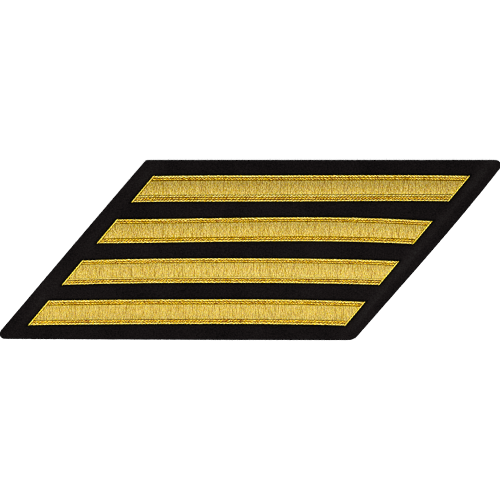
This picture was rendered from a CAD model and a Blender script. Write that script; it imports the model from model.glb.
"""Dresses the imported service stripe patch: felted cloth under four gold braid stripes.

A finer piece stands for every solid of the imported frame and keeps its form: wound yarns for
each rib, threads laid across the stripe for each satin field, and a felted sheet for the
cloth. Lengths are in metres, X runs along the stripes and Z out of the face, as in the frame.
"""
import math
from collections import namedtuple

import bpy
import numpy as np
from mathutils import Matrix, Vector
from mathutils.geometry import delaunay_2d_cdt


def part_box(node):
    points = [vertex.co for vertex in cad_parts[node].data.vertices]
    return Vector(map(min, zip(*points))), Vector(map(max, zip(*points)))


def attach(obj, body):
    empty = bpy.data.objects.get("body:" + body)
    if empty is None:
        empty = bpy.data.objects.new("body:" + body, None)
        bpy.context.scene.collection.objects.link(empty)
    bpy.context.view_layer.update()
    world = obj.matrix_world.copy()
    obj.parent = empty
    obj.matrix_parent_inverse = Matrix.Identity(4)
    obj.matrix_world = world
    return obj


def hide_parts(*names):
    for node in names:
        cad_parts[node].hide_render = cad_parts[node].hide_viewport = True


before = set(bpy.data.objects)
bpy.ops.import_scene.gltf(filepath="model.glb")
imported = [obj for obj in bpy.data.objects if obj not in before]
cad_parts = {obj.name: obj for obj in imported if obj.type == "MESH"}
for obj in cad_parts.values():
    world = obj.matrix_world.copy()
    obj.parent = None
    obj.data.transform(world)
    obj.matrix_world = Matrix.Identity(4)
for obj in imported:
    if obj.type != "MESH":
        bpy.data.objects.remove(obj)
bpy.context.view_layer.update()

MM = 0.001
STRIPES = (1, 2, 3, 4)

# The picture: its scale, and the pixel under which the frame's origin lies
IMAGE_SIDE = 500
MM_PER_PIXEL = 0.39
ORIGIN_PIXEL = (249.95, 250.07)
LENS = 300.0
SENSOR = 36.0

# How a rib is wound. Twist is 1 for a right-hand screw and -1 for a left-hand one, a ply's
# girth is its diameter as a share of the rib's width, bloom is how much paler its crest is
# than its flanks, glow how much paler it is towards the outside of the stripe, contrast how
# strongly its flecks and hollows show, sway how far a ply strays sideways as a share of the
# rib's half width, dots how dark the dots along its two sides are, and rich how far a satin
# yarn is as saturated as the ends of the field's threads.
Winding = namedtuple(
    "Winding", "slot plies lead twist girth tone bloom glow contrast sway dots rich"
)
WINDINGS = {
    "outer_rib": Winding(
        "outer_rib_thread", 2, 2.9 * MM, 1, 0.56, 0.785, 0.50, 0.16, 0.48, 0.20, 0.3, 0.0
    ),
    "inner_rib": Winding(
        "inner_rib_thread", 2, 2.4 * MM, 1, 0.58, 0.685, 0.36, 0.0, 0.84, 0.10, 0.9, 0.0
    ),
    "third_rib": Winding(
        "satin_thread", 2, 2.7 * MM, 1, 0.58, 0.785, 0.30, 0.0, 0.66, 0.10, 0.3, 0.6
    ),
    "end_rib": Winding(
        "end_rib_thread", 3, 3.6 * MM, 1, 0.58, 0.64, 0.30, 0.22, 0.7, 0.0, 0.0, 0.0
    ),
}
DOT_SPACING = 0.65 * MM
# The grooves are deepest on stripe 1: how much more the crests stand out against them
DEEP_STRIPE = 1
DEEPER_BLOOM = 1.45
# One rib is paler and more even from its left end on, and darker along its inner side: up to
# which share of its length, over what share that fades, by how much paler, by how much less
# its yarns differ there, and by how much darker
PALE_RIB = (1, "upper", "outer_rib")
PALE_PART = 0.52
PALE_FADE = 0.1
PALE_LIFT = 0.24
PALE_EVENNESS = 0.6
PALE_SHADE = 0.6
# The third rib is faint on stripe 3, nearly as pale and even as the field beside it
FAINT_RIB = dict(tone=0.54, bloom=0.0, contrast=0.3, girth=0.80, dots=0.0, rich=0.0)
FAINT_RIB_STRIPE = 3
STRIPES_WITH_THIRD_RIB = (1, 3)
# How many ribs lie outside each kind of long rib
STEPS_IN = {"outer_rib": 0, "inner_rib": 1, "third_rib": 2}
# How far the lines of a border stray along Y: its outer edge, then each groove further in
STRAYS = np.array((0.05, 0.12, 0.06, 0.05)) * MM
STRAY_LENGTH = 2.6 * MM
# The lines of the straightest stripe stray by this share of that
STRAIGHTEST_STRIPE = 1
STRAIGHTEST_SHARE = 0.5
END_TAPER = 0.7 * MM
# How far an end rib's yarns reach past the solid at either tip, as a share of its length
END_REACH = 0.012
# A taper too short to show
NO_TAPER = 1e-9
# A long rib's sections slant with the stripe's cut within this distance of its ends
SLANT_REACH = 2.2 * MM
PLY_SIDES = 8
STATIONS_A_TURN = 10
# How a ply strays round its rib: by how many radians, and over what length
DRIFTS = ((1.6, 5 * MM), (0.9, 1.5 * MM))
# How a ply's girth varies, as a share of it, and the lengths of its changes and of its sway
GIRTH_WAVER = 0.10
GIRTH_LENGTH = 1.3 * MM
SWAY_LENGTH = 0.7 * MM
# Flecks on a ply: their length and strength, and how much darker it is deep between the plies
FLECK_LENGTH = 0.6 * MM
FLECK = 0.24
HOLLOW_SHADE = 0.8
# How much darker the foot under the plies is, for each unit of contrast
FOOT_SHADE = 0.35
# The foot under a rib's plies: share of its width from left to right, and height
FOOT_PROFILE = (
    (0.0, 0.0), (1.0, 0.0), (0.98, 0.25 * MM),
    (0.75, 0.40 * MM), (0.25, 0.40 * MM), (0.02, 0.25 * MM),
)

# Satin threads, and the partings that open between them here and there
THREAD_PITCH = 0.30 * MM
THREAD_HALF_WIDTH = 0.17 * MM
THREAD_HALF_THICKNESS = 0.15 * MM
THREAD_SIDES = 5
# How threads vary: the steps between them and their width, as shares, and their tone
PITCH_VARIES = 0.06
WIDTH_VARIES = 0.05
TONE_VARIES = 0.015
# A thread lies in floats of this length, and is bound down where one ends. Those places stray
# by this share of a float
FLOAT_LENGTH = 1.3 * MM
FLOAT_STRAY = 0.35
PARTING_SPACING = 2.5 * MM
# Least and most share of the stripe's width at which a parting is widest, least and most
# reach up and down as a share of that width, and least and most opening in millimetres
PARTING_MIDDLES = (0.25, 0.75)
PARTING_REACHES = (0.1, 0.28)
PARTING_OPENINGS = (0.02, 0.07)
# How far along X a parting shifts the threads, and how wide its dark line is
PARTING_SHIFT_REACH = 0.7 * MM
PARTING_LINE = 0.2 * MM
# How much darker threads are where they part, for each millimetre that they open
PARTING_DEPTH = 2.5
# How each field looks: its tone, how much paler it is at its right end than at its middle,
# how strongly its threads differ, the tone of the very ends of its threads at the lower and
# the upper side against the rest, and how far they reach over the groove at the lower side,
# below zero where they end short of it
Field = namedtuple("Field", "tone rise contrast low_end high_end low_reach")
FIELDS = {
    1: Field(0.557, 0.0, 0.84, 0.40, -0.55, -0.01 * MM),
    2: Field(0.578, 0.010, 0.80, -0.20, -0.18, 0.0),
    3: Field(0.574, 0.020, 0.52, 0.30, 0.08, 0.14 * MM),
    4: Field(0.547, 0.010, 0.30, 0.25, -0.16, 0.0),
}
# How far the threads wander along X: as neighbours together, and each by itself
WANDER = 0.04 * MM
OWN_WANDER = 0.09 * MM
# How high the threads lie: in slow lumps, and each by itself
LUMPS = 0.03 * MM
OWN_LUMPS = 0.015 * MM
# How deep a thread's end sinks and over what length, and how deep it is bound down
END_DIP = 0.06 * MM
END_DIP_REACH = 0.25 * MM
BOUND_DIP = 0.05 * MM
# How far the tone goes: from glint to glint, where a thread is bound, and on its flanks
GLINT = 0.24
GLINT_LENGTH = 0.45 * MM
BOUND_SHADE = 0.15
FLANK_SHADE = 0.25
# The reach of the tone of a thread's very end, and of its richer colour
END_TONE_REACH = 0.35 * MM
RICH_REACH = 0.8 * MM
# The paler band inside a thread's end: how pale, how far in, and its half width
BAND_LIFT = 0.10
BAND_PLACE = 0.55 * MM
BAND_HALF_WIDTH = 0.4 * MM
# How deep the bed lies under the solid's crown, in how many rows, and its tone
BED_SINK = 0.17 * MM
BED_ROWS = 9
BED_TONE = 0.05
# Distances from a thread's ends of its first stations, and the stations in between
END_STATIONS = np.array((0.0, 0.12, 0.26, 0.45, 0.75)) * MM
MIDDLE_STATIONS = 15

# Cloth mesh
RIM_STEP = 0.45 * MM
FACE_STEP = 0.52 * MM
BACK_STEP = 1.0 * MM
# How far the cloth's cut edge is ragged, how far at most outwards, and the length of that along
# the edge and up it
RAGGED = 0.04 * MM
RAGGED_OUT = 0.02 * MM
RAGGED_LENGTHS = (0.8 * MM, 0.7 * MM)
# How far the felt's face lies under the top of its solid
FACE_DROP = 0.07 * MM
# Lumps of the felt's face: their height in millimetres, their width and their seed
FACE_LUMPS = ((0.05, 9 * MM, 41), (0.02, 2.5 * MM, 42), (0.03, 0.9 * MM, 43))
# Lumps of its back: their height either way, and their width
BACK_LUMP = 0.05 * MM
BACK_LUMP_WIDTH = 1.6 * MM
# How far the face is drawn down beside a stripe, in millimetres, and over what distance, and
# how far at most it rises
DRAWN_DOWN = 0.16
DRAWN_REACH = 1.8 * MM
MOST_RISE = 0.06
# The felt darkens over this distance into the crease beside a stripe
CREASE_REACH = 0.8 * MM
# Where the felt's nap lies paler: how far inside a cut end, and over what distance towards the
# end and away from it, with what share of that at the left end, how uneven it is, and in
# patches of what width
NAP_BAND = 4.5 * MM
NAP_SPREADS = (1.2 * MM, 2.1 * MM)
LEFT_NAP = 0.35
NAP_UNEVEN = 0.25
NAP_PATCH = 5 * MM
# The cloth's rim from the back round to the face: distance in from the cut edge and height, in
# millimetres
RIM_PROFILE = (
    (0.40, 0.00), (0.12, 0.03), (0.02, 0.16), (0.0, 0.55), (0.0, 1.05),
    (0.01, 1.45), (0.09, 1.70), (0.24, 1.85), (0.45, 1.92), (0.70, 1.93),
)

# Fibres of the felt: how many stand out of its rim and its face, and how many places on the face
# are tried for them
RIM_FIBRES = 3600
FACE_FIBRES = 4200
FACE_TRIES = 14000
FIBRE_RADIUS = 0.016 * MM
FIBRE_TAPER = 0.55
FIBRE_BEND = 0.5
# No fibre dips below this height
FIBRE_FLOOR = 0.02 * MM
# Fibres of the rim and of the face: least and most length and how deep they are rooted, in
# millimetres
RIM_FIBRE_LENGTHS = (0.15, 0.42)
RIM_FIBRE_ROOTED = 0.06
FACE_FIBRE_LENGTHS = (0.3, 0.8)
FACE_FIBRE_ROOTED = 0.03
# Least and most height of the rim's fibres, in millimetres, and how far they spread from
# standing square out of it
RIM_FIBRE_HEIGHTS = (0.1, 1.9)
RIM_FIBRE_SPREAD = 0.8
# How far the face's fibres keep from the cut edge and from a stripe, how they spread along X, Y
# and Z, and how far they lift
FACE_FIBRE_MARGIN = 0.3 * MM
STRIPE_MARGIN = 0.25 * MM
FACE_FIBRE_SPREAD = (1, 1, 0.25)
FACE_FIBRE_LIFT = (0, 0, 0.22)

# Light and floor
WORLD_STRENGTH = 0.6
KEY_PLACE = (0.0, -0.02, 0.10)
KEY_SIZE = (0.6, 0.08)
KEY_POWER = 0.31
FLOOR_HEIGHT = -0.03 * MM
FLOOR_HALF = 1.5
# The height of the plane in which the picture's scale holds
SCALE_PLANE = 2 * MM


# Reading the frame

def corners_of(node):
    """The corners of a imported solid, one row each."""
    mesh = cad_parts[node].data
    found = np.empty(len(mesh.vertices) * 3, np.float32)
    mesh.vertices.foreach_get("co", found)
    return np.unique(np.round(found.reshape(-1, 3).astype(float), 7), axis=0)


def at_height(points, height, slack=2e-6):
    return points[np.abs(points[:, 2] - height) < slack]


def measured_lean():
    """How far a stripe's slanted end runs along X for each metre along Y."""
    points = corners_of("stripe_1_left_end_rib")
    low, high = sorted(at_height(points, points[:, 2].max()), key=lambda point: point[1])
    return (high[0] - low[0]) / (high[1] - low[1])


LEAN = measured_lean()


def along(points):
    """Places along a stripe, which are the same all along a slanted end."""
    return points[:, 0] - LEAN * points[:, 1]


class Rail:
    """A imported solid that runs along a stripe, seen as its sections from left to right."""

    def __init__(self, node):
        self.node = node
        points = corners_of(node)
        self.levels = np.unique(np.round(points[:, 2], 6))
        self.foot = self.levels[0]
        self.crest = self.levels[-1]
        feet = at_height(points, self.foot)
        pairs = feet[np.argsort(along(feet))].reshape(-1, 2, 3)
        order = np.argsort(pairs[:, :, 1], axis=1)[:, :, None]
        pairs = np.take_along_axis(pairs, order, axis=1)
        self.low, self.high = pairs[:, 0], pairs[:, 1]
        self.along = along(self.low)
        self.width = float(np.mean(self.high[:, 1] - self.low[:, 1]))

    def low_y(self, place):
        return np.interp(place, self.along, self.low[:, 1])

    def high_y(self, place):
        return np.interp(place, self.along, self.high[:, 1])


# Smooth noise

def eased(share):
    share = np.clip(share, 0, 1)
    return share * share * (3 - 2 * share)


def noise_1d(x, step, seed):
    """Smooth noise from -1 to 1 along x, with a new value at each step."""
    count = 4096
    values = np.random.default_rng(seed).uniform(-1, 1, count)
    place = np.asarray(x) / step
    cell = np.floor(place).astype(int)
    share = eased(place - cell)
    return values[cell % count] * (1 - share) + values[(cell + 1) % count] * share


def noise_2d(x, y, step_x, step_y, seed):
    """Smooth noise from -1 to 1 over a plane, with a new value at each step."""
    side = 512
    values = np.random.default_rng(seed).uniform(-1, 1, (side, side))
    u, v = np.broadcast_arrays(np.asarray(x) / step_x, np.asarray(y) / step_y)
    i, j = np.floor(u).astype(int), np.floor(v).astype(int)
    share_x, share_y = eased(u - i), eased(v - j)
    i, j, next_i, next_j = i % side, j % side, (i + 1) % side, (j + 1) % side
    near = values[i, j] * (1 - share_x) + values[next_i, j] * share_x
    far = values[i, next_j] * (1 - share_x) + values[next_i, next_j] * share_x
    return near * (1 - share_y) + far * share_y


def smoothed(values, width):
    """Each row as the mean of the rows round it."""
    return np.apply_along_axis(np.convolve, 0, values, np.ones(width) / width, "same")


def stray(stripe, place, line, x):
    """How far a line of a stripe's border strays along Y. Line 0 is its outer edge."""
    seed = 500 + 20 * stripe + (10 if place == "upper" else 0) + line
    share = STRAIGHTEST_SHARE if stripe == STRAIGHTEST_STRIPE else 1.0
    return share * STRAYS[line] * noise_1d(x, STRAY_LENGTH, seed)


# Meshes

def mesh_piece(name, verts, polygons, material, **attributes):
    """A smooth mesh. Each array in polygons holds a row of vertex numbers for each face."""
    mesh = bpy.data.meshes.new(name)
    loops = np.concatenate([faces.ravel() for faces in polygons])
    sizes = np.concatenate([np.full(len(faces), faces.shape[1]) for faces in polygons])
    starts = np.cumsum(sizes) - sizes
    mesh.vertices.add(len(verts))
    mesh.vertices.foreach_set("co", np.asarray(verts, np.float32).ravel())
    mesh.loops.add(len(loops))
    mesh.loops.foreach_set("vertex_index", loops.astype(np.int32))
    mesh.polygons.add(len(sizes))
    mesh.polygons.foreach_set("loop_start", starts.astype(np.int32))
    mesh.update(calc_edges=True)
    mesh.shade_smooth()
    for key, values in attributes.items():
        values = np.asarray(values, np.float32)
        kind, field = ("FLOAT_VECTOR", "vector") if values.ndim == 2 else ("FLOAT", "value")
        mesh.attributes.new(key, kind, "POINT").data.foreach_set(field, values.ravel())
    mesh.materials.append(material)
    piece = bpy.data.objects.new(name, mesh)
    bpy.context.scene.collection.objects.link(piece)
    return piece


def tubes(rings):
    """Closed tubes from an array of rings: tube, station, corner, coordinate."""
    count, stations, sides, _ = rings.shape
    number = np.arange(count * stations * sides).reshape(count, stations, sides)
    here, ahead = number[:, :-1], number[:, 1:]
    walls = np.stack([here, np.roll(here, -1, 2), np.roll(ahead, -1, 2), ahead], axis=-1)
    caps = np.concatenate([number[:, 0, ::-1], number[:, -1]])
    return rings.reshape(-1, 3), [walls.reshape(-1, 4), caps]


def bar(left, right, profile, foot):
    """One closed bar: profile gives (share from left to right, height over the foot)."""
    ring = []
    for share, height in profile:
        point = left * (1 - share) + right * share
        point[:, 2] = foot + height
        ring.append(point)
    return tubes(np.stack(ring, axis=1)[None])


def joined(parts):
    """Several (verts, polygons) as one."""
    verts, polygons, first = [], [], 0
    for points, faces in parts:
        verts.append(points)
        polygons += [rows + first for rows in faces]
        first += len(points)
    return np.concatenate(verts), polygons


def dressed(piece, slot, *nodes):
    """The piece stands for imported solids, and takes its finish from a slot of the record."""
    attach(piece, "root")
    if nodes:
        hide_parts(*nodes)
    return piece


# Materials

class Finish:
    """A material and its node tree, with short calls for what the finishes share."""

    def __init__(self, name):
        self.material = bpy.data.materials.new(name)
        self.material.use_nodes = True
        self.tree = self.material.node_tree
        self.shader = self.tree.nodes["Principled BSDF"]

    def add(self, kind, inputs=None, **settings):
        node = self.tree.nodes.new(kind)
        for key, value in settings.items():
            setattr(node, key, value)
        for key, source in (inputs or {}).items():
            self.feed(node.inputs[key], source)
        return node

    def feed(self, socket, source):
        if isinstance(source, bpy.types.NodeSocket):
            self.tree.links.new(source, socket)
        else:
            socket.default_value = source

    def constant(self, **values):
        for key, value in values.items():
            self.shader.inputs[key.replace("_", " ")].default_value = value

    def math(self, operation, *values):
        return self.add("ShaderNodeMath", dict(enumerate(values)), operation=operation).outputs[0]

    def attribute(self, name, output="Fac"):
        return self.add("ShaderNodeAttribute", attribute_name=name).outputs[output]

    def noise(self, size_x, size_y, detail=2.0, rough=0.5):
        """Noise with lumps of the given sizes along X and Y."""
        place = self.add("ShaderNodeTexCoord").outputs["Object"]
        scale = (1 / size_x, 1 / size_y, 1 / size_x)
        place = self.add("ShaderNodeMapping", {"Vector": place, "Scale": scale}).outputs[0]
        inputs = {"Vector": place, "Scale": 1.0, "Detail": detail, "Roughness": rough}
        return self.add("ShaderNodeTexNoise", inputs).outputs["Fac"]

    def plus(self, first, share, second):
        """first plus a share of second."""
        return self.math("MULTIPLY_ADD", second, share, first)

    def stirred(self, value, share, size_x, size_y):
        """The value with a share of noise, evenly about it."""
        low = self.math("SUBTRACT", value, share / 2)
        return self.plus(low, share, self.noise(size_x, size_y))

    def ramp(self, factor, stops):
        node = self.add("ShaderNodeValToRGB", {"Fac": factor})
        elements = node.color_ramp.elements
        while len(elements) < len(stops):
            elements.new(0.5)
        for element, (place, colour) in zip(elements, stops):
            element.position = place
            element.color = (*colour, 1.0)
        return node.outputs["Color"]

    def colour(self, source):
        self.feed(self.shader.inputs["Base Color"], source)

    def bump(self, height, distance, strength=1.0):
        inputs = {"Height": height, "Distance": distance, "Strength": strength}
        self.feed(self.shader.inputs["Normal"], self.add("ShaderNodeBump", inputs).outputs[0])


def gold_thread(name, shades, metal, rough, richer_ends=0.0):
    """Metallic yarn. The mesh gives its tone, and fine grain and faint clouds stir it.

    Richer_ends is how much more saturated it is where the mesh marks a thread's end.
    """
    finish = Finish(name)
    tone = finish.stirred(finish.attribute("tone"), 0.60, 0.4 * MM, 0.42 * MM)
    tone = finish.stirred(tone, 0.12, 2.2 * MM, 2.2 * MM)
    colour = finish.ramp(tone, list(zip((0.0, 0.25, 0.5, 1.0), shades)))
    strength = finish.stirred(1.0, 0.60, 0.5 * MM, 0.5 * MM)
    if richer_ends:
        strength = finish.plus(strength, richer_ends, finish.attribute("thread_end"))
    hue = finish.stirred(0.5, 0.05, 1.3 * MM, 1.2 * MM)
    inputs = {"Color": colour, "Saturation": strength, "Hue": hue}
    finish.colour(finish.add("ShaderNodeHueSaturation", inputs).outputs[0])
    finish.constant(Metallic=metal, Roughness=rough, Specular_IOR_Level=0.0)
    return finish


def satin_finish():
    shades = (0.24, 0.095, 0.0), (0.42, 0.258, 0.019), (0.594, 0.431, 0.076), (0.868, 0.813, 0.36)
    finish = gold_thread("satin_thread", shades, 0.55, 0.45, richer_ends=0.16)
    finish.bump(finish.noise(0.07 * MM, 0.9 * MM, 2.0), 0.03 * MM, 0.7)
    return finish.material


def wound_finish(name, *shades, filaments=7.0, pitch=5.0):
    """Yarn for the ribs, its fine filaments running slantwise round each ply."""
    finish = gold_thread(name, shades, 0.6, 0.36)
    finish.constant(Specular_Tint=(1.0, 0.75, 0.25, 1.0))
    around = finish.add("ShaderNodeSeparateXYZ", {0: finish.attribute("lay", "Vector")}).outputs
    angle = finish.math("ARCTAN2", around["Y"], around["X"])
    wave = finish.math("MULTIPLY", angle, filaments)
    wave = finish.math("SINE", finish.plus(wave, pitch, around["Z"]))
    finish.bump(wave, 0.02 * MM, 0.7)
    return finish.material


def felt_finish(name, dark, middle, light):
    finish = Finish(name)
    tone = finish.plus(-0.04, 0.5, finish.noise(17 * MM, 17 * MM))
    tone = finish.plus(tone, 1.25, finish.noise(0.6 * MM, 0.6 * MM, 4.0, 0.6))
    tone = finish.plus(tone, -0.9, finish.attribute("crease"))
    tone = finish.plus(tone, 0.22, finish.attribute("nap"))
    tone = finish.math("MULTIPLY", tone, 0.75)
    finish.colour(finish.ramp(tone, [(0.44, dark), (0.72, middle), (1.0, light)]))
    finish.constant(Roughness=1.0, Specular_IOR_Level=0.06)
    finish.bump(finish.noise(0.5 * MM, 0.5 * MM, 4.0, 0.7), 0.08 * MM, 0.8)
    return finish.material


def paper_finish(name):
    """White paper lit a little from behind, so that it stays white round the patch."""
    finish = Finish(name)
    finish.colour((0.5, 0.5, 0.5, 1.0))
    finish.constant(Roughness=0.9, Specular_IOR_Level=0.0, Emission_Strength=0.68)
    finish.constant(Emission_Color=(1.0, 1.0, 1.0, 1.0))
    return finish.material


def finishes():
    return {
        "satin_thread": satin_finish(),
        "outer_rib_thread": wound_finish(
            "outer_rib_thread",
            (0.18, 0.048, 0.0), (0.54, 0.300, 0.004), (0.92, 0.67, 0.062), (1.0, 0.96, 0.31),
        ),
        "inner_rib_thread": wound_finish(
            "inner_rib_thread",
            (0.25, 0.054, 0.0), (0.52, 0.232, 0.001), (0.71, 0.455, 0.012), (1.0, 0.82, 0.13),
        ),
        "end_rib_thread": wound_finish(
            "end_rib_thread",
            (0.46, 0.18, 0.002), (0.73, 0.47, 0.018), (0.98, 0.77, 0.06), (1.0, 1.0, 0.29),
        ),
        "backing_cloth": felt_finish(
            "backing_cloth",
            (0.0011, 0.0008, 0.0009), (0.0068, 0.0050, 0.0051), (0.0130, 0.0119, 0.0112),
        ),
        "fibre": felt_finish(
            "backing_fibre",
            (0.005, 0.004, 0.004), (0.0165, 0.0135, 0.0135), (0.028, 0.023, 0.023),
        ),
    }


# Ribs

def ply_tone(winding, place, v, z, outward, pale, ply, seed):
    """The tone of each corner of a ply, from where it lies in the rib and from its flecks.

    V and z are how far across and how high in the rib each corner lies, in half widths and
    half heights.
    """
    hidden = np.clip(1 - np.hypot(v, z), 0, 0.6)
    fleck = noise_1d(place, FLECK_LENGTH, seed + 6 + ply)[:, None]
    # The dark flecks are darker than the pale ones are pale
    fleck = fleck - np.clip(-2 * fleck - 1, 0, 1)
    tone = winding.tone + winding.bloom * (z - 0.75) + winding.glow * outward * v
    contrast = winding.contrast * (1 - PALE_EVENNESS * pale)
    tone = tone + contrast * (FLECK * fleck - HOLLOW_SHADE * hidden)
    tone = tone + PALE_LIFT * pale * np.clip(1.6 * z - 0.2, -0.3, 1)
    tone = tone - PALE_SHADE * pale * np.clip(-3 * outward * v - 1.4, 0, 1)
    dots = [noise_1d(place, DOT_SPACING, seed + end)[:, None] for end in (12, 13)]
    dot = np.clip(4 * np.where(v > 0, *dots) - 1.8, 0, 1) * np.clip(4 * np.abs(v) - 2.0, 0, 1)
    return tone - winding.dots * dot


def wound(
    path, across, outward, width, height, winding, seed, tapers=(NO_TAPER,) * 2, pale_part=0.0
):
    """The plies of a rib: their rings, the tone of each corner, and its lay round the ply.

    Outward is 1 where across leads out of the stripe, or else -1. The rib thins and sinks
    over the lengths of its two tapers at its ends, and is paler and more even over its pale
    part, a share of its length from the left.
    """
    steps = np.linalg.norm(np.diff(path, axis=0), axis=1)
    gone = np.concatenate([[0], np.cumsum(steps)])
    place = np.linspace(0, gone[-1], max(6, int(gone[-1] / winding.lead * STATIONS_A_TURN)))
    centre = np.stack([np.interp(place, gone, axis) for axis in path.T], axis=1)
    side = np.stack([np.interp(place, gone, axis) for axis in across.T], axis=1)
    thinned = np.minimum(eased(place / tapers[0]), eased((gone[-1] - place) / tapers[1]))
    slim = (0.5 + 0.5 * thinned)[:, None]
    centre[:, 2:] -= (1 - slim) * height / 3
    pale = 1 - eased((place / gone[-1] - pale_part) / PALE_FADE + 1)[:, None]
    drift = sum(far * noise_1d(place, step, seed + n) for n, (far, step) in enumerate(DRIFTS))
    turn = 2 * math.pi * np.arange(PLY_SIDES) / PLY_SIDES
    rings, tones, lays = [], [], []
    for ply in range(winding.plies):
        phase = 2 * math.pi * (place / winding.lead + ply / winding.plies) + drift
        phase = winding.twist * phase
        waver = 1 + GIRTH_WAVER * noise_1d(place, GIRTH_LENGTH, seed + 2 + ply)
        girth = winding.girth * waver[:, None]
        sway = winding.sway * noise_1d(place, SWAY_LENGTH, seed + 9 + ply)[:, None]
        v = sway + (1 - winding.girth) * np.cos(phase)[:, None] + girth * np.cos(turn)
        z = (1 - winding.girth) * np.sin(phase)[:, None] + girth * np.sin(turn)
        ring = centre[:, None] + side[:, None] * (slim * v)[:, :, None] * width / 2
        ring[:, :, 2] += slim * z * height / 2
        rings.append(ring)
        tones.append(ply_tone(winding, place, v, z, outward, pale, ply, seed))
        lay = np.broadcast_arrays(np.cos(turn), np.sin(turn), place[:, None] / MM)
        lays.append(np.stack(lay, axis=-1))
    return np.stack(rings), np.stack(tones), np.stack(lays)


def rib_piece(name, rings, tones, lays, foot_bar, winding, materials, node):
    """The plies of a rib and the flat foot under them, as one piece."""
    verts, polygons = joined([tubes(rings), foot_bar])
    spare = len(verts) - tones.size
    foot_tone = winding.tone - FOOT_SHADE * winding.contrast
    tones = np.concatenate([tones.ravel(), np.full(spare, foot_tone)])
    lays = np.concatenate([lays.reshape(-1, 3), np.zeros((spare, 3))])
    rich = np.full(len(verts), winding.rich)
    finish = materials[winding.slot]
    piece = mesh_piece(name, verts, polygons, finish, tone=tones, lay=lays, thread_end=rich)
    return dressed(piece, winding.slot, node)


def long_rib(stripe, place, kind, materials, seed):
    winding = WINDINGS[kind]
    if place == "lower":
        winding = winding._replace(twist=-winding.twist)
    if kind == "third_rib" and stripe == FAINT_RIB_STRIPE:
        winding = winding._replace(**FAINT_RIB)
    if stripe == DEEP_STRIPE:
        winding = winding._replace(bloom=winding.bloom * DEEPER_BLOOM)
    rail = Rail(f"stripe_{stripe}_{place}_{kind}")
    slots = np.linspace(rail.along[0], rail.along[-1], 800)
    outward = 1 if place == "upper" else -1
    outer, inner = (stray(stripe, place, STEPS_IN[kind] + step, slots) for step in (0, 1))
    y = (rail.low_y(slots) + rail.high_y(slots) + outer + inner) / 2
    path = np.column_stack([slots + LEAN * y, y, np.full(len(y), (rail.foot + rail.crest) / 2)])
    # Square to the rib, and slanted with the stripe's cut at its ends
    from_end = np.minimum(slots - slots[0], slots[-1] - slots)
    slant = LEAN * (1 - eased(from_end / SLANT_REACH))
    across = np.column_stack([slant, np.ones(len(y)), np.zeros(len(y))])
    across *= 1 + outward * (outer - inner)[:, None] / rail.width
    height = rail.crest - rail.foot
    pale_part = PALE_PART if (stripe, place, kind) == PALE_RIB else 0.0
    rings, tones, lays = wound(
        path, across, outward, rail.width, height, winding, seed, pale_part=pale_part
    )
    foot_bar = bar(rail.low, rail.high, FOOT_PROFILE, rail.foot)
    name = f"stripe_{stripe}_{place}_{kind}_yarns"
    return rib_piece(name, rings, tones, lays, foot_bar, winding, materials, rail.node)


def end_rib(stripe, place, materials, seed):
    winding = WINDINGS["end_rib"]
    node = f"stripe_{stripe}_{place}_end_rib"
    points = corners_of(node)
    foot, crest = points[:, 2].min(), points[:, 2].max()
    low, high = sorted(at_height(points, crest), key=lambda point: point[1])
    feet = np.array(sorted(at_height(points, foot), key=lambda point: point[1])).reshape(2, 2, 3)
    left = feet[[0, 1], feet[:, :, 0].argmax(axis=1)]
    right = feet[[0, 1], feet[:, :, 0].argmin(axis=1)]
    share = np.linspace(-END_REACH, 1 + END_REACH, 40)[:, None]
    path = low * (1 - share) + high * share
    path[:, 2] = (foot + crest) / 2
    across = np.tile([-1.0, 0.0, 0.0], (len(path), 1))
    run = float(np.mean(left[:, 0] - right[:, 0]))
    # Only the sharp tip thins
    tapers = (END_TAPER, NO_TAPER) if place == "left" else (NO_TAPER, END_TAPER)
    outward = 1 if place == "left" else -1
    rings, tones, lays = wound(path, across, outward, run, crest - foot, winding, seed, tapers)
    foot_bar = bar(left, right, FOOT_PROFILE, foot)
    return rib_piece(f"{node}_yarns", rings, tones, lays, foot_bar, winding, materials, node)


# Satin fields

def partings(first, last, rng):
    """Where threads part: place along X, height share, reach up and down, and opening."""
    count = int((last - first) / PARTING_SPACING)
    place = first + (np.arange(count) + rng.uniform(0, 1, count)) * PARTING_SPACING
    middle = rng.uniform(*PARTING_MIDDLES, count)
    reach = rng.uniform(*PARTING_REACHES, count)
    opening = rng.uniform(*PARTING_OPENINGS, count) * MM
    return zip(place, middle, reach, opening)


def thread_spans(stripe, rail, rng):
    """Each thread's place along X, and the places of its lower and its upper end along Y."""
    floor_line = np.vstack([rail.low, rail.high[-1:]])
    roof_line = np.vstack([rail.low[:1], rail.high])
    steps = THREAD_PITCH * (1 + PITCH_VARIES * rng.standard_normal(600))
    x = rail.low[0, 0] + np.cumsum(steps)
    bottom = np.interp(x, floor_line[:, 0], floor_line[:, 1])
    top = np.interp(x, roof_line[:, 0], roof_line[:, 1])
    ribs_below = 3 if stripe in STRIPES_WITH_THIRD_RIB else 2
    bottom = bottom + stray(stripe, "lower", ribs_below, x - LEAN * bottom)
    bottom = bottom - FIELDS[stripe].low_reach
    top = top + stray(stripe, "upper", 2, x - LEAN * top)
    kept = (x < rail.high[-1, 0]) & (top - bottom > 0.5 * MM)
    return x[kept], bottom[kept], top[kept]


def station_shares(length):
    """The stations of each thread as shares of its length, closer together at its ends."""
    near_end = END_STATIONS * np.minimum(1, length / (4 * END_STATIONS[-1])) / length
    between = np.linspace(near_end[:, -1], 1 - near_end[:, -1], MIDDLE_STATIONS + 2)[1:-1].T
    return np.hstack([near_end, between, 1 - near_end[:, ::-1]])


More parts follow.
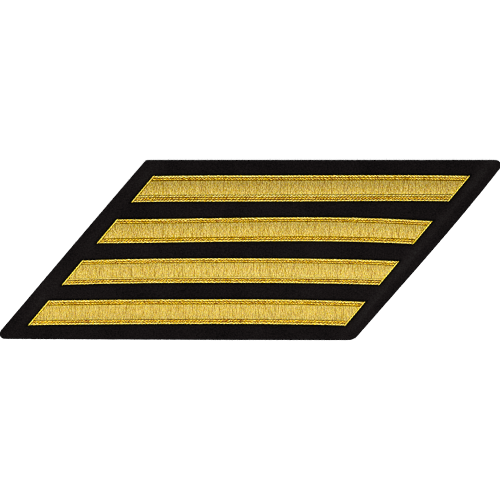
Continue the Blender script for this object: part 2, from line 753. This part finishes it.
def wandering(x, y, share, number, rng, seed):
    """How far each thread wanders along X, and how far it is parted from its neighbours."""
    shift = WANDER * noise_2d(x[:, None], y, 0.8 * MM, 1.0 * MM, seed + 1)
    shift = shift + OWN_WANDER * noise_2d(number, y, 1.0, 0.9 * MM, seed + 6)
    parted = np.zeros_like(shift)
    for place, middle, reach, opening in partings(x[0], x[-1], rng):
        near = np.exp(-np.abs(x - place) / PARTING_SHIFT_REACH) * np.sign(x - place)
        tall = np.exp(-(((share - middle) / reach) ** 2))
        shift += opening * near[:, None] * tall
        line = np.exp(-(((x - place) / PARTING_LINE) ** 2))
        parted += opening / MM * line[:, None] * tall
    return shift, parted


def crown_height(rail, x, y):
    """The height of a field's crowned solid."""
    side = rail.levels[1]
    slot = x - LEAN * y
    low, high = rail.low_y(slot), rail.high_y(slot)
    off_middle = np.clip((2 * y - low - high) / (high - low), -1, 1)
    return side + (rail.crest - side) * (1 - off_middle**2)


def crowned_bed(rail):
    """What lies under the threads, in the form of the field's solid."""
    side = rail.levels[1]
    rows = np.linspace(1, 0, BED_ROWS)
    arch = side - rail.foot + (rail.crest - side) * (1 - (2 * rows - 1) ** 2) - BED_SINK
    return bar(rail.low, rail.high, [(0.0, 0.0), (1.0, 0.0), *zip(rows, arch)], rail.foot)


def end_tone(look, share, from_end):
    """How the tone changes near a thread's ends: at the very end, and in a paler band inside."""
    tone = np.where(share < 0.5, look.low_end, look.high_end)
    tone = tone * (1 - eased(from_end / END_TONE_REACH))
    off_band = np.abs(from_end - BAND_PLACE) / BAND_HALF_WIDTH
    return tone + BAND_LIFT * (1 - eased(off_band))


def satin_field(stripe, materials, seed):
    """Threads laid across the stripe, over a crowned bed."""
    rng = np.random.default_rng(seed)
    look = FIELDS[stripe]
    rail = Rail(f"stripe_{stripe}_satin_field")
    x, bottom, top = thread_spans(stripe, rail, rng)
    count = len(x)
    number = np.arange(count)[:, None] * 1.0
    length = (top - bottom)[:, None]
    share = station_shares(length)
    y = bottom[:, None] + length * share
    from_end = np.minimum(share, 1 - share) * length
    shift, parted = wandering(x, y, share, number, rng, seed)
    centre_x = x[:, None] + shift

    dip = END_DIP * (1 - eased(from_end / END_DIP_REACH))
    dip = np.where((share < 0.5) & (look.low_reach > 0), 0, dip)
    lift = LUMPS * noise_2d(x[:, None], y, 0.9 * MM, 1.6 * MM, seed + 2)
    lift = lift + OWN_LUMPS * rng.standard_normal(count)[:, None]
    floats = y / FLOAT_LENGTH + rng.uniform(0, 1, count)[:, None]
    floats = floats + FLOAT_STRAY * noise_2d(number, y, 1.0, 2 * MM, seed + 5)
    bound = np.clip(1 - 3.5 * np.abs(floats - np.round(floats)), 0, 1)
    crown = crown_height(rail, centre_x, y)
    centre_z = crown - THREAD_HALF_THICKNESS + lift - dip - BOUND_DIP * bound

    turn = -2 * math.pi * np.arange(THREAD_SIDES) / THREAD_SIDES
    plump = (1 + WIDTH_VARIES * rng.standard_normal(count))[:, None, None]
    rings = np.stack(
        np.broadcast_arrays(
            centre_x[:, :, None] + THREAD_HALF_WIDTH * plump * np.cos(turn),
            y[:, :, None],
            centre_z[:, :, None] + THREAD_HALF_THICKNESS * np.sin(turn),
        ),
        axis=-1,
    )
    rightwards = 2 * (x - x[0]) / (x[-1] - x[0]) - 1
    tone = look.tone + look.rise * rightwards + TONE_VARIES * rng.standard_normal(count)
    glints = noise_2d(number, y, 1.0, GLINT_LENGTH, seed + 4)
    glints = GLINT * (glints - 0.8 * smoothed(glints, 7)) - BOUND_SHADE * bound
    tones = tone[:, None] + look.contrast * glints + end_tone(look, share, from_end)
    tones = tones - PARTING_DEPTH * parted
    flank = 1 - np.clip(np.sin(turn), 0, 1)
    tones = tones[:, :, None] - FLANK_SHADE * look.contrast * flank
    ends = np.broadcast_to(1 - eased(from_end / RICH_REACH)[:, :, None], rings.shape[:3])

    verts, polygons = joined([tubes(rings), crowned_bed(rail)])
    spare = len(verts) - tones.size
    tones = np.concatenate([tones.ravel(), np.full(spare, BED_TONE)])
    ends = np.concatenate([ends.ravel(), np.zeros(spare)])
    name, finish = f"stripe_{stripe}_satin_threads", materials["satin_thread"]
    piece = mesh_piece(name, verts, polygons, finish, tone=tones, thread_end=ends)
    return dressed(piece, "satin_thread", rail.node)


# Cloth

def cut_outline():
    """The cloth's cut edge, anticlockwise, in even steps."""
    points = corners_of("backing")
    levels = np.unique(np.round(points[:, 2], 6))
    edge = at_height(points, levels[1])
    edge = edge[np.argsort(np.arctan2(edge[:, 1], edge[:, 0]))]
    closed = np.vstack([edge, edge[:1]])[:, :2]
    gone = np.concatenate([[0], np.cumsum(np.linalg.norm(np.diff(closed, axis=0), axis=1))])
    place = np.linspace(0, gone[-1], int(gone[-1] / RIM_STEP), endpoint=False)
    return np.stack([np.interp(place, gone, axis) for axis in closed.T], axis=1)


def inward(outline):
    """Unit ways into an anticlockwise outline at each of its points."""
    way = np.roll(outline, -1, 0) - np.roll(outline, 1, 0)
    way /= np.linalg.norm(way, axis=1)[:, None]
    return np.stack([-way[:, 1], way[:, 0]], axis=1)


def depth_inside(points, outline):
    """How deep each point lies inside a convex anticlockwise outline."""
    corner = outline[::3]
    way = np.roll(corner, -1, 0) - corner
    way /= np.linalg.norm(way, axis=1)[:, None]
    normal = np.stack([-way[:, 1], way[:, 0]], axis=1)
    return (points @ normal.T - np.sum(corner * normal, axis=1)).min(axis=1)


class StripeEdges:
    """Where a stripe's outer edges lie, for what surrounds it."""

    def __init__(self, stripe):
        self.lower = Rail(f"stripe_{stripe}_lower_outer_rib")
        self.upper = Rail(f"stripe_{stripe}_upper_outer_rib")
        left = corners_of(f"stripe_{stripe}_left_end_rib")
        right = corners_of(f"stripe_{stripe}_right_end_rib")
        self.left, self.right = along(left).min(), along(right).max()

    def distance(self, x, y):
        """How far places lie outside the stripe, below zero inside it."""
        slot = x - LEAN * y
        beside = np.maximum(self.left - slot, slot - self.right) / math.hypot(1, LEAN)
        return np.maximum.reduce([self.lower.low_y(slot) - y, y - self.upper.high_y(slot), beside])


def outside_stripes(x, y, edges):
    """How far places lie outside the nearest stripe, below zero inside one."""
    return np.minimum.reduce([edge.distance(x, y) for edge in edges])


def nap(points, outline):
    """How pale the felt's nap lies: in a band inside each cut end, most at the right one."""
    from_left = (along(points) - along(outline).min()) / math.hypot(1, LEAN)
    from_right = (along(outline).max() - along(points)) / math.hypot(1, LEAN)
    bands = []
    for side in (from_left, from_right):
        spread = np.where(side < NAP_BAND, *NAP_SPREADS)
        bands.append(np.exp(-(((side - NAP_BAND) / spread) ** 2)))
    uneven = 1 + NAP_UNEVEN * noise_2d(points[:, 0], points[:, 1], NAP_PATCH, NAP_PATCH, 45)
    return (LEFT_NAP * bands[0] + bands[1]) * uneven


def face_height(x, y, top, edges):
    """The cloth's face: felted, a little uneven, and drawn down beside the stripes."""
    relief = sum(high * noise_2d(x, y, wide, wide, seed) for high, wide, seed in FACE_LUMPS)
    pulled = DRAWN_DOWN * (1 - eased(outside_stripes(x, y, edges) / DRAWN_REACH))
    return top + MM * np.minimum(relief - pulled, MOST_RISE)


def filled(border, step, seed):
    """A triangulated sheet inside a convex border, whose points come first."""
    low, high = border.min(axis=0), border.max(axis=0)
    columns = np.arange(low[0], high[0], step)
    rows = np.arange(low[1], high[1], step * math.sqrt(3) / 2)
    grid = np.stack(np.meshgrid(columns, rows, indexing="ij"), axis=-1)
    grid[:, 1::2, 0] += step / 2
    grid = grid.reshape(-1, 2)
    grid += np.random.default_rng(seed).uniform(-0.2, 0.2, grid.shape) * step
    grid = grid[depth_inside(grid, border) > 0.6 * step]
    points = np.vstack([border, grid])
    count = len(border)
    edges = [(number, (number + 1) % count) for number in range(count)]
    made = delaunay_2d_cdt([Vector(point) for point in points.tolist()], edges, [], 1, 1e-9)
    source = np.array([origin[0] for origin in made[3]])
    return points, source[np.array(made[2])]


def renumbered(triangles, border, first):
    """Triangles of a filled sheet, numbered as in the whole mesh.

    Its border is a ring of the mesh, and the points inside it start at number first.
    """
    count = len(border)
    return np.where(triangles < count, border[triangles % count], triangles - count + first)


def rim_rings(outline, top, edges):
    """Rings of points round the cloth's rim, from its back to its face."""
    way = inward(outline)
    round_places = np.arange(len(outline)) * RIM_STEP
    rings = []
    for inset, height in RIM_PROFILE:
        ragged = RAGGED * noise_2d(round_places, height * MM, *RAGGED_LENGTHS, 51)
        offset = inset * MM + np.maximum(ragged, -RAGGED_OUT)
        ring = outline + way * offset[:, None]
        rings.append(np.column_stack([ring, np.full(len(ring), height * MM)]))
    rings[-1][:, 2] = face_height(rings[-1][:, 0], rings[-1][:, 1], top, edges)
    return rings


def cloth(materials, edges):
    """The felted sheet: its rim, and its face and back inside that."""
    node = "backing"
    outline = cut_outline()
    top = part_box(node)[1].z - FACE_DROP
    rings = rim_rings(outline, top, edges)
    count = len(outline)
    number = np.arange(len(rings) * count).reshape(len(rings), count)
    below, above = number[:-1], number[1:]
    walls = np.stack([below, np.roll(below, -1, 1), np.roll(above, -1, 1), above], axis=-1)

    face, face_triangles = filled(rings[-1][:, :2], FACE_STEP, 5)
    face_z = face_height(face[:, 0], face[:, 1], top, edges)
    back, back_triangles = filled(rings[0][:, :2], BACK_STEP, 6)
    back_lumps = noise_2d(back[:, 0], back[:, 1], BACK_LUMP_WIDTH, BACK_LUMP_WIDTH, 44)
    back_z = BACK_LUMP * (1 + back_lumps)
    face_verts = np.column_stack([face, face_z])[count:]
    back_verts = np.column_stack([back, back_z])[count:]
    verts = np.vstack([*rings, face_verts, back_verts])
    first_face = len(rings) * count
    first_back = first_face + len(face_verts)
    face_triangles = renumbered(face_triangles, number[-1], first_face)
    back_triangles = renumbered(back_triangles, number[0], first_back)
    polygons = [walls.reshape(-1, 4), face_triangles, back_triangles[:, ::-1]]
    crease = 1 - eased(outside_stripes(verts[:, 0], verts[:, 1], edges) / CREASE_REACH)
    pale = nap(verts, outline)
    felt = materials["backing_cloth"]
    piece = mesh_piece("backing_felt", verts, polygons, felt, crease=crease, nap=pale)
    return dressed(piece, "backing_cloth", node)


# Fibres

def fibres(name, roots, ways, lengths, material, rng):
    """Fine bent fibres from roots, closed and three-sided."""
    sides, stations = 3, 4
    count = len(roots)
    share = np.linspace(0, 1, stations)
    bend = rng.standard_normal((count, 3)) * FIBRE_BEND
    reach = lengths[:, None, None] * share[None, :, None]
    centre = roots[:, None] + reach * (ways[:, None] + bend[:, None] * share[None, :, None])
    side = np.cross(ways, rng.standard_normal((count, 3)))
    side /= np.linalg.norm(side, axis=1)[:, None]
    other = np.cross(ways, side)
    turn = 2 * math.pi * np.arange(sides) / sides
    girth = (FIBRE_RADIUS * (1 - FIBRE_TAPER * share))[None, :, None, None]
    spoke = side[:, None, None] * np.cos(turn)[:, None]
    spoke = spoke + other[:, None, None] * np.sin(turn)[:, None]
    rings = centre[:, :, None] + girth * spoke
    rings[..., 2] = np.maximum(rings[..., 2], FIBRE_FLOOR)
    return mesh_piece(name, *tubes(rings), material)


def rim_fibres(materials):
    rng = np.random.default_rng(71)
    outline = cut_outline()
    pick = rng.integers(0, len(outline), RIM_FIBRES)
    out = -inward(outline)[pick]
    root = outline[pick] - out * RIM_FIBRE_ROOTED * MM
    height = rng.uniform(*RIM_FIBRE_HEIGHTS, len(pick)) * MM
    roots = np.column_stack([root, height])
    spread = rng.standard_normal((len(pick), 3)) * RIM_FIBRE_SPREAD
    ways = np.column_stack([out, np.zeros(len(pick))]) + spread
    ways /= np.linalg.norm(ways, axis=1)[:, None]
    lengths = rng.uniform(*RIM_FIBRE_LENGTHS, len(pick)) * MM
    piece = fibres("backing_rim_fibres", roots, ways, lengths, materials["fibre"], rng)
    return dressed(piece, "backing_cloth")


def face_fibres(materials, edges):
    rng = np.random.default_rng(72)
    low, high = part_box("backing")
    outline = cut_outline()
    places = rng.uniform((low.x, low.y), (high.x, high.y), (FACE_TRIES, 2))
    places = places[depth_inside(places, outline) > FACE_FIBRE_MARGIN]
    clear = outside_stripes(places[:, 0], places[:, 1], edges) > STRIPE_MARGIN
    places = places[clear][:FACE_FIBRES]
    top = high.z - FACE_DROP
    height = face_height(places[:, 0], places[:, 1], top, edges) - FACE_FIBRE_ROOTED * MM
    ways = rng.standard_normal((len(places), 3)) * FACE_FIBRE_SPREAD + FACE_FIBRE_LIFT
    ways /= np.linalg.norm(ways, axis=1)[:, None]
    lengths = rng.uniform(*FACE_FIBRE_LENGTHS, len(places)) * MM
    roots = np.column_stack([places, height])
    piece = fibres("backing_face_fibres", roots, ways, lengths, materials["fibre"], rng)
    return dressed(piece, "backing_cloth")


# Stage, light and camera

def add_camera(plane):
    """Straight over the patch, so that a pixel spans its share of the given plane."""
    data = bpy.data.cameras.new("camera")
    data.lens, data.sensor_width = LENS, SENSOR
    data.clip_start, data.clip_end = 0.01, 20.0
    camera = bpy.data.objects.new("camera", data)
    bpy.context.scene.collection.objects.link(camera)
    pixel = MM_PER_PIXEL * MM
    middle = IMAGE_SIDE / 2
    distance = IMAGE_SIDE * pixel * LENS / SENSOR
    camera.location = (
        (middle - ORIGIN_PIXEL[0]) * pixel,
        (ORIGIN_PIXEL[1] - middle) * pixel,
        plane + distance,
    )
    bpy.context.scene.camera = camera


def add_area_light(name, place, size, power):
    data = bpy.data.lights.new(name, "AREA")
    data.shape, data.size, data.size_y = "RECTANGLE", size[0], size[1]
    data.energy = power
    light = bpy.data.objects.new(name, data)
    light.visible_camera = False
    light.location = place
    light.rotation_euler = (-Vector(place)).to_track_quat("-Z", "Y").to_euler()
    bpy.context.scene.collection.objects.link(light)


def add_world(strength):
    world = bpy.data.worlds.new("studio")
    world.use_nodes = True
    background = world.node_tree.nodes["Background"]
    background.inputs["Color"].default_value = (1.0, 1.0, 1.0, 1.0)
    background.inputs["Strength"].default_value = strength
    bpy.context.scene.world = world


def add_floor(height):
    square = ((-1, -1), (1, -1), (1, 1), (-1, 1))
    verts = np.array([(x * FLOOR_HALF, y * FLOOR_HALF, height) for x, y in square])
    floor = mesh_piece("floor", verts, [np.array([[0, 1, 2, 3]])], paper_finish("floor_paper"))
    return floor


def build():
    bpy.context.scene.view_settings.view_transform = "Standard"
    add_camera(SCALE_PLANE)
    bpy.context.scene.cycles.use_denoising = False
    bpy.context.scene.cycles.filter_width = 1.0
    add_world(WORLD_STRENGTH)
    add_area_light("key", KEY_PLACE, KEY_SIZE, KEY_POWER)
    floor = add_floor(FLOOR_HEIGHT)
    materials = finishes()
    edges = [StripeEdges(stripe) for stripe in STRIPES]
    sheet = cloth(materials, edges)
    fuzz = [rim_fibres(materials), face_fibres(materials, edges)]
    for stripe in STRIPES:
        seed = 1000 * stripe
        satin_field(stripe, materials, seed)
        for place in ("upper", "lower"):
            long_rib(stripe, place, "outer_rib", materials, seed + 100)
            long_rib(stripe, place, "inner_rib", materials, seed + 200)
            seed += 300
        if stripe in STRIPES_WITH_THIRD_RIB:
            long_rib(stripe, "lower", "third_rib", materials, seed + 100)
        for place in ("left", "right"):
            end_rib(stripe, place, materials, seed + 200)
            seed += 100


build()
